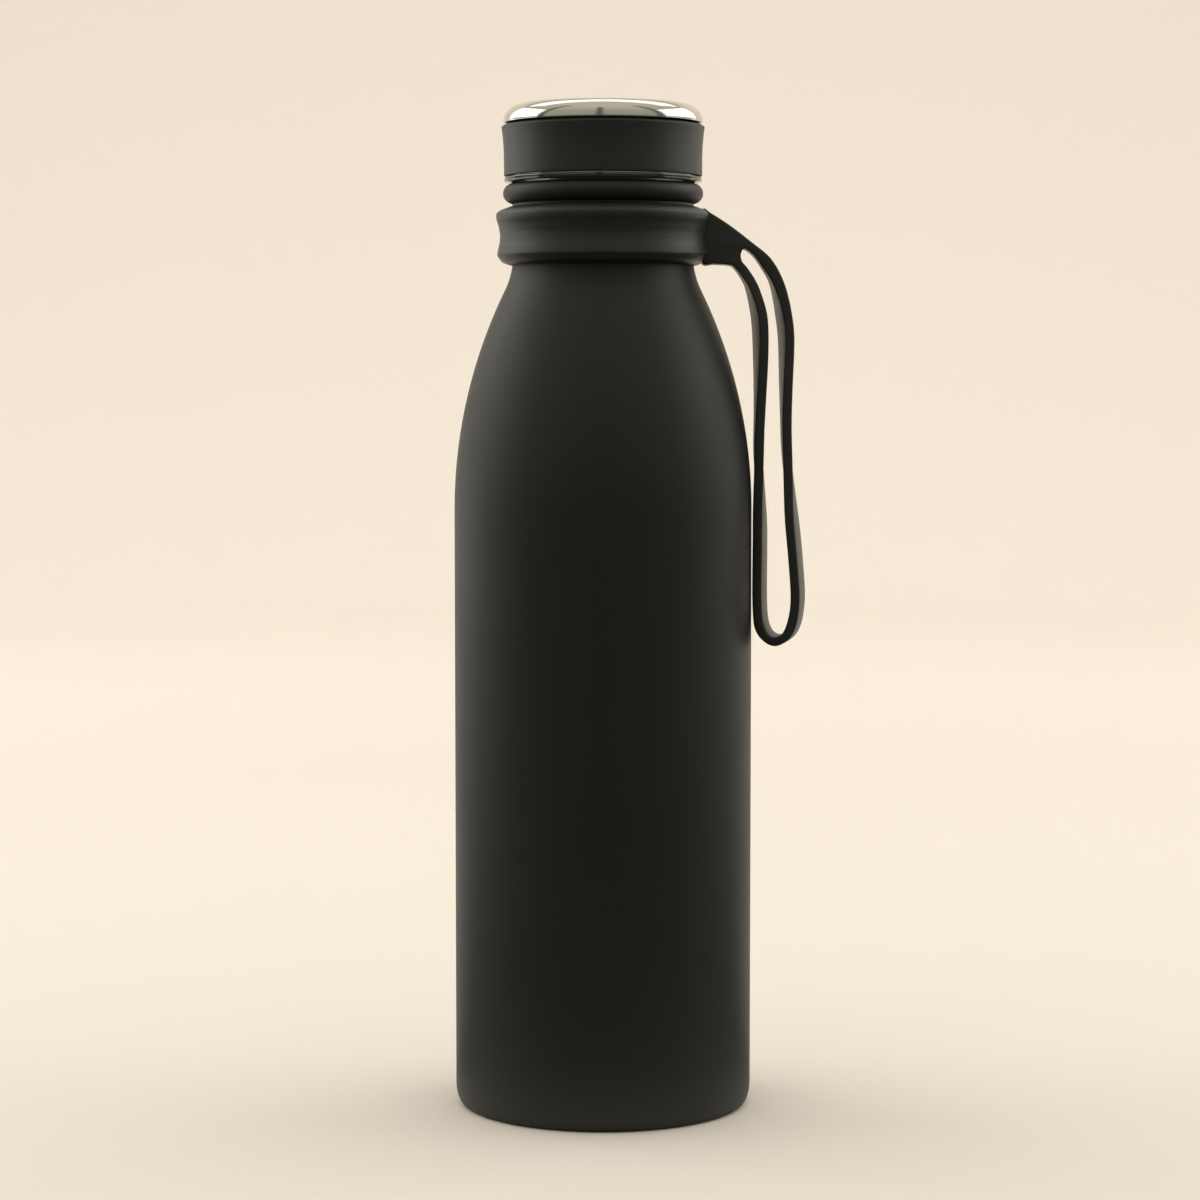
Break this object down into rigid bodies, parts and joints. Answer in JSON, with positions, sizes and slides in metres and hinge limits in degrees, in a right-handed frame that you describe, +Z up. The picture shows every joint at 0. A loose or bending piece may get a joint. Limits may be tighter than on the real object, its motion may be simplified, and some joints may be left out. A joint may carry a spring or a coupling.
{
  "type": "insulated water bottle",
  "caption": "Vacuum-insulated steel water bottle with rounded shoulders, a banded screw lid and a soft neck collar whose flat strap loop hangs at the side.",
  "frame": {"origin": "on the bottle's axis, in the plane that its foot stands on, 1 mm under the centre of the base cover", "axes": "+Z up along the bottle's axis, +X towards the hanging strap loop"},
  "size_m": [0.0866, 0.073, 0.2464],
  "materials": {
    "powder_coat": "matte black powder coat with a fine texture",
    "polished_steel": "polished stainless steel",
    "satin_steel": "satin stainless steel",
    "black_silicone": "matte black silicone",
    "grey_plastic": "moulded dark grey plastic",
    "white_silicone": "off-white silicone",
    "foam": "pale rigid foam",
    "foil": "copper foil",
    "solder_glass": "dark solder glass"
  },
  "bodies": {
    "bottle": {"outer_shell": "powder_coat", "base_cover": "satin_steel", "outer_base": "satin_steel", "vacuum_seal": "solder_glass", "getter": "satin_steel", "inner_vessel": "satin_steel", "foil_wrap": "foil", "neck_finish": "satin_steel"},
    "collar": {"strap_collar": "black_silicone", "strap_knee": "black_silicone"},
    "loop": {"strap_loop": "black_silicone"},
    "seal": {"lid_gasket": "white_silicone"},
    "lid": {"lid_cover": "polished_steel", "grip_band": "black_silicone", "lid_core": "grey_plastic", "lid_foam": "foam", "lid_liner": "satin_steel"}
  },
  "joints": [
    {"name": "collar_swivel", "type": "hinge", "parent": "bottle", "child": "collar", "pos_m": [0, 0, 0.214], "axis": [0, 0, 1], "continuous": true},
    {"name": "strap_lift", "type": "hinge", "parent": "collar", "child": "loop", "pos_m": [0.0345, 0, 0.2085], "axis": [0, -1, 0], "range_deg": [0, 150], "deforming": ["strap_knee"]},
    {"name": "lid_rise", "type": "slide", "parent": "bottle", "child": "seal", "axis": [0, 0, 1], "range_m": [0, 0.036]},
    {"name": "lid_unscrew", "type": "hinge", "parent": "seal", "child": "lid", "pos_m": [0, 0, 0.2367], "axis": [0, 0, 1], "range_deg": [0, 2160]}
  ],
  "couplings": [
    {"joint": "lid_rise", "follows": "lid_unscrew", "m_per_rad": 0.00095493}
  ]
}
